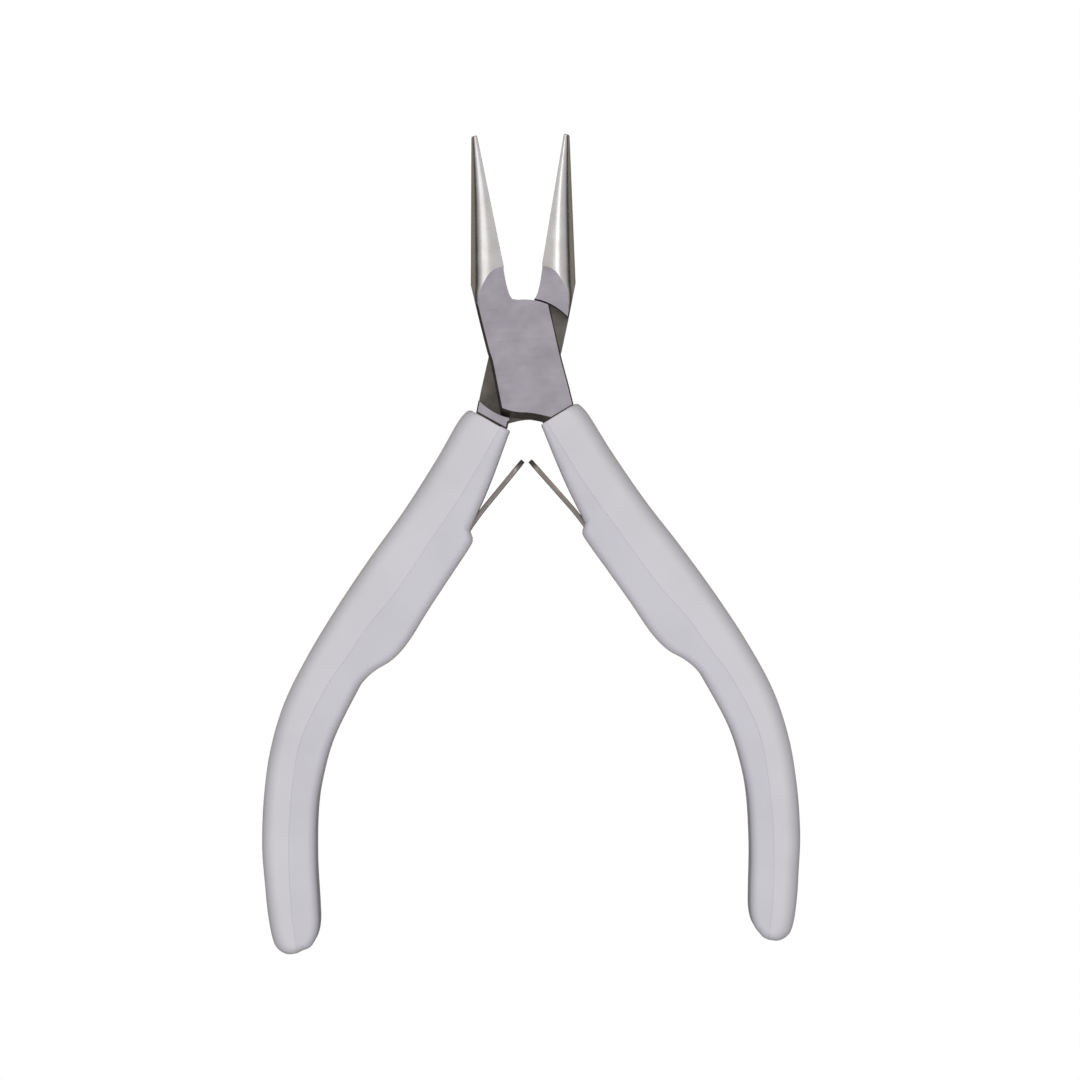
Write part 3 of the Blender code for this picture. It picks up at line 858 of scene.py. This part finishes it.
def slice_outline(width, height, radius, lean):
    """A moulding's section, from the seam out: across the top, round the edge and back below."""
    bend = min(radius, WIDEST_BEND * width)
    flat = width - bend
    upper = [(0.0, 0.0), (0.0, 0.5 * height), (0.0, height - SEAM_EDGE), (SEAM_EDGE, height)]
    for share in (0.25, 0.5, 0.75):
        upper.append((SEAM_EDGE + share * (flat - SEAM_EDGE), height - lean * share * flat))
    for a in quarter(10):
        upper.append((flat + bend * math.sin(a), height - lean * flat - bend * (1 - math.cos(a))))
    upper.append((width, 0.5 * (height - lean * flat - bend)))
    lower = [(u, -z) for u, z in reversed(upper[1:])]
    return [*upper, (width, 0.0), *lower]


def moulding(edge, side, radius, lean, slide):
    """A loft from the seam to an outer edge; side is +1 outside the seam and -1 inside it."""
    seam = seam_line()
    marks = lengths(seam)
    sections = []
    for i, place in enumerate(edge):
        even = marks[-1] * i / (len(edge) - 1)
        mark = (1 - EVEN_SHARE) * nearest_mark(seam, marks, place) + EVEN_SHARE * even
        start = at_mark(seam, marks, mark) + Vector((side * SEAM_GAP, 0.0))
        width = (place - start).length
        across = (place - start) / width
        drop = max(TOP_ROUND - mark, 0.0)
        height = GRIP_HALF - TOP_ROUND + math.sqrt(TOP_ROUND**2 - drop**2)
        rim = slice_outline(width, height, radius, lean)
        sections.append([(*(start + slide + across * u), z) for u, z in rim])
    return loft(sections)


print("a slice has", len(slice_outline(4.0, GRIP_HALF, 1.5, 0.0)), "points")

# %% [markdown]
# The grips are a hard white plastic with a soft sheen, a little greyed by hands in broad patches. A fine
# moulded texture breaks up the highlights. The insert is a slightly duller and cooler plastic than the
# shell, which is what makes the seam show. Both come from one function: a rough dielectric shader, with
# clouds of noise for its colour and a much finer noise for its relief.


# %% Plastic
def plastic_finish(name, colour, stain, roughness):
    """A moulded plastic, with its clean colour and the colour where it has been handled."""
    finish = bpy.data.materials.new(name)
    finish.use_nodes = True
    nodes, links = finish.node_tree.nodes, finish.node_tree.links
    nodes.clear()
    place = nodes.new("ShaderNodeTexCoord")
    place.label = "place on the grip"
    place.location = (-980, 0)

    handling = nodes.new("NodeFrame")
    handling.label = "handling marks"
    clouds = nodes.new("ShaderNodeTexNoise")
    clouds.label = "broad patches"
    clouds.location = (-760, 220)
    clouds.inputs["Scale"].default_value = 90.0
    clouds.inputs["Detail"].default_value = 4.0
    amount = nodes.new("ShaderNodeMapRange")
    amount.label = "how much handled"
    amount.location = (-520, 220)
    amount.inputs["From Min"].default_value = 0.4
    amount.inputs["From Max"].default_value = 0.8
    tint = nodes.new("ShaderNodeMix")
    tint.label = "clean to greyed"
    tint.location = (-300, 220)
    tint.data_type = "RGBA"
    tint.inputs["A"].default_value = (*colour, 1.0)
    tint.inputs["B"].default_value = (*stain, 1.0)
    for node in (clouds, amount, tint):
        node.parent = handling

    texture = nodes.new("NodeFrame")
    texture.label = "moulded texture"
    grain = nodes.new("ShaderNodeTexNoise")
    grain.label = "fine grain"
    grain.location = (-760, -220)
    grain.inputs["Scale"].default_value = 2500.0
    grain.inputs["Detail"].default_value = 2.0
    relief = nodes.new("ShaderNodeBump")
    relief.label = "the grain has depth"
    relief.location = (-300, -220)
    relief.inputs["Strength"].default_value = 0.3
    relief.inputs["Distance"].default_value = 0.00002
    for node in (grain, relief):
        node.parent = texture

    shader = nodes.new("ShaderNodeBsdfPrincipled")
    shader.label = "plastic with a soft sheen"
    shader.location = (0, 0)
    shader.inputs["Roughness"].default_value = roughness
    shader.inputs["IOR"].default_value = 1.48
    output = nodes.new("ShaderNodeOutputMaterial")
    output.label = "finished plastic"
    output.location = (280, 0)
    links.new(place.outputs["Object"], clouds.inputs["Vector"])
    links.new(place.outputs["Object"], grain.inputs["Vector"])
    links.new(clouds.outputs["Fac"], amount.inputs["Value"])
    links.new(amount.outputs["Result"], tint.inputs["Factor"])
    links.new(tint.outputs["Result"], shader.inputs["Base Color"])
    links.new(grain.outputs["Fac"], relief.inputs["Height"])
    links.new(relief.outputs["Normal"], shader.inputs["Normal"])
    links.new(shader.outputs["BSDF"], output.inputs["Surface"])
    return finish


shell_plastic = plastic_finish("shell_plastic", (0.9, 0.89, 0.92), (0.83, 0.82, 0.84), 0.45)
insert_plastic = plastic_finish("insert_plastic", (0.86, 0.85, 0.9), (0.78, 0.77, 0.82), 0.5)
print("plastics:", shell_plastic.name, "and", insert_plastic.name)

# %% [markdown]
# Each return spring is one strip of rolled steel. Its foot lies in a pocket along the inner side of the
# handle and is pinned to the tang. At a soft bend it leaves the handle and crosses towards the other
# spring. The strip is a loft of rounded rectangles along one soft line, and the same function cuts the
# pocket for it. A flat strip with a Solidify modifier would be quicker, but with a square free end.

# %% The strip of a spring
HINGE = Vector((2.35, -23.4))
LEAF_TILT = math.radians(30)
LEAF_LENGTH = 9.25
LEAF_THICKNESS = 0.7
LEAF_HALF = 2.5
LEAF_EDGE = 0.12
SHORTEST_END = 0.02
POCKET_WIDTH = 1.0
POCKET_HALF = 2.65
POCKET_EDGE = 0.05
leaf_way = Vector((-math.sin(LEAF_TILT), math.cos(LEAF_TILT)))
foot_line = [(9.6, -39.3), (5.2, -29.5), (4.15, -27.0), (3.2, -25.0), HINGE]


def strip(line, thickness, half_breadth, edge, round_end):
    """A strip that stands on edge along a line, with its free end rounded or square."""
    sections = []
    marks = lengths(line)
    for i, place in enumerate(line):
        along = (line[min(i + 1, len(line) - 1)] - line[max(i - 1, 0)]).normalized()
        side = Vector((-along.y, along.x))
        to_tip = marks[-1] - marks[i]
        height = half_breadth
        if round_end and to_tip < half_breadth:
            short = half_breadth - max(to_tip, SHORTEST_END)
            height = math.sqrt(half_breadth**2 - short**2)
        e = min(edge, 0.5 * height)
        corner = []
        for a in quarter(3):
            corner.append((0.5 * thickness - e * (1 - math.cos(a)), height - e * (1 - math.sin(a))))
        upper = corner + [(-u, z) for u, z in reversed(corner)]
        rim = upper + [(-u, -z) for u, z in upper]
        sections.append([(*(place + side * u), z) for u, z in rim])
    return loft(sections)


def spring_strip():
    """Foot, bend and leaf in one."""
    leaf = [HINGE + leaf_way * LEAF_LENGTH * share for share in (0.3, 0.65, 1.0)]
    return strip(soft_line(foot_line + leaf, 14), LEAF_THICKNESS, LEAF_HALF, LEAF_EDGE, True)


def spring_pocket():
    """The pocket in the insert, open where the strip leaves the handle."""
    line = soft_line([(9.8, -39.75), *foot_line, (1.6, -22.1)], 10)
    return strip(line, POCKET_WIDTH, POCKET_HALF, POCKET_EDGE, False)


print("the strip leaves the handle at", round(math.degrees(LEAF_TILT)), "degrees")

# %% [markdown]
# Now both handles are dressed. The shell and the insert are lofted, and the slot for the tang is cut out
# of both, so that each is hollow where the steel runs through it. They ride on the steel half that they
# are pushed onto.

# %% The grips
SHELL_RADIUS = 2.6
SHELL_LEAN = 0.02
INSERT_RADIUS = 1.5
INSERT_LEAN = 0.07
SLOT_PLAY = 0.12
SLOT_RISE = 0.1
slot_half = TANG_HALF + SLOT_RISE


def tang_slot():
    """The cutter for the slot that the tang sits in."""
    return plate(tang_outline(SLOT_PLAY), -slot_half, slot_half)


def grip(side, place, body):
    """The shell and the insert of one handle."""
    slide = GRIP_SLIDE[side]
    shell_form = moulding(shell_edge(), 1, SHELL_RADIUS, SHELL_LEAN, slide)
    shell = stand(side + "_grip_shell_plastic", shell_form, [shell_plastic])
    carve(shell, [(tang_slot(), "DIFFERENCE")])
    finish_off(shell, place, body, "grip_shell", side + "_grip_shell")
    insert_form = moulding(insert_edge(INSERT_SHIFT[side]), -1, INSERT_RADIUS, INSERT_LEAN, slide)
    insert = stand(side + "_grip_insert_plastic", insert_form, [insert_plastic])
    carve(insert, [(tang_slot(), "DIFFERENCE"), (spring_pocket(), "DIFFERENCE")])
    finish_off(insert, place, body, "grip_insert", side + "_grip_insert")


print("the slot for the tang is", round(2 * slot_half, 2), "mm deep")

# %% [markdown]
# A spring's foot moves with its handle and its leaf turns about the bend, but the strip is one piece. It
# is made in its rest pose and stays there, on no body, so it doesn't flex across the bend. The pin keeps
# its imported mesh.


def spring(side, place):
    """One spring, made in one piece at rest, and the steel of its pin."""
    leaf = stand(side + "_spring_strip", spring_strip(), [spring_steel])
    finish_off(leaf, place, None, "spring_steel", side + "_spring_foot", side + "_spring_leaf")
    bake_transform(leaf)
    pin = frame["nodes"][side + "_spring_pin"]
    pin.data.materials.clear()
    pin.data.materials.append(spring_steel)


for side, place, body in (("right", front_place, "front_side"), ("left", back_place, "back_side")):
    grip(side, place, body)
    spring(side, place)
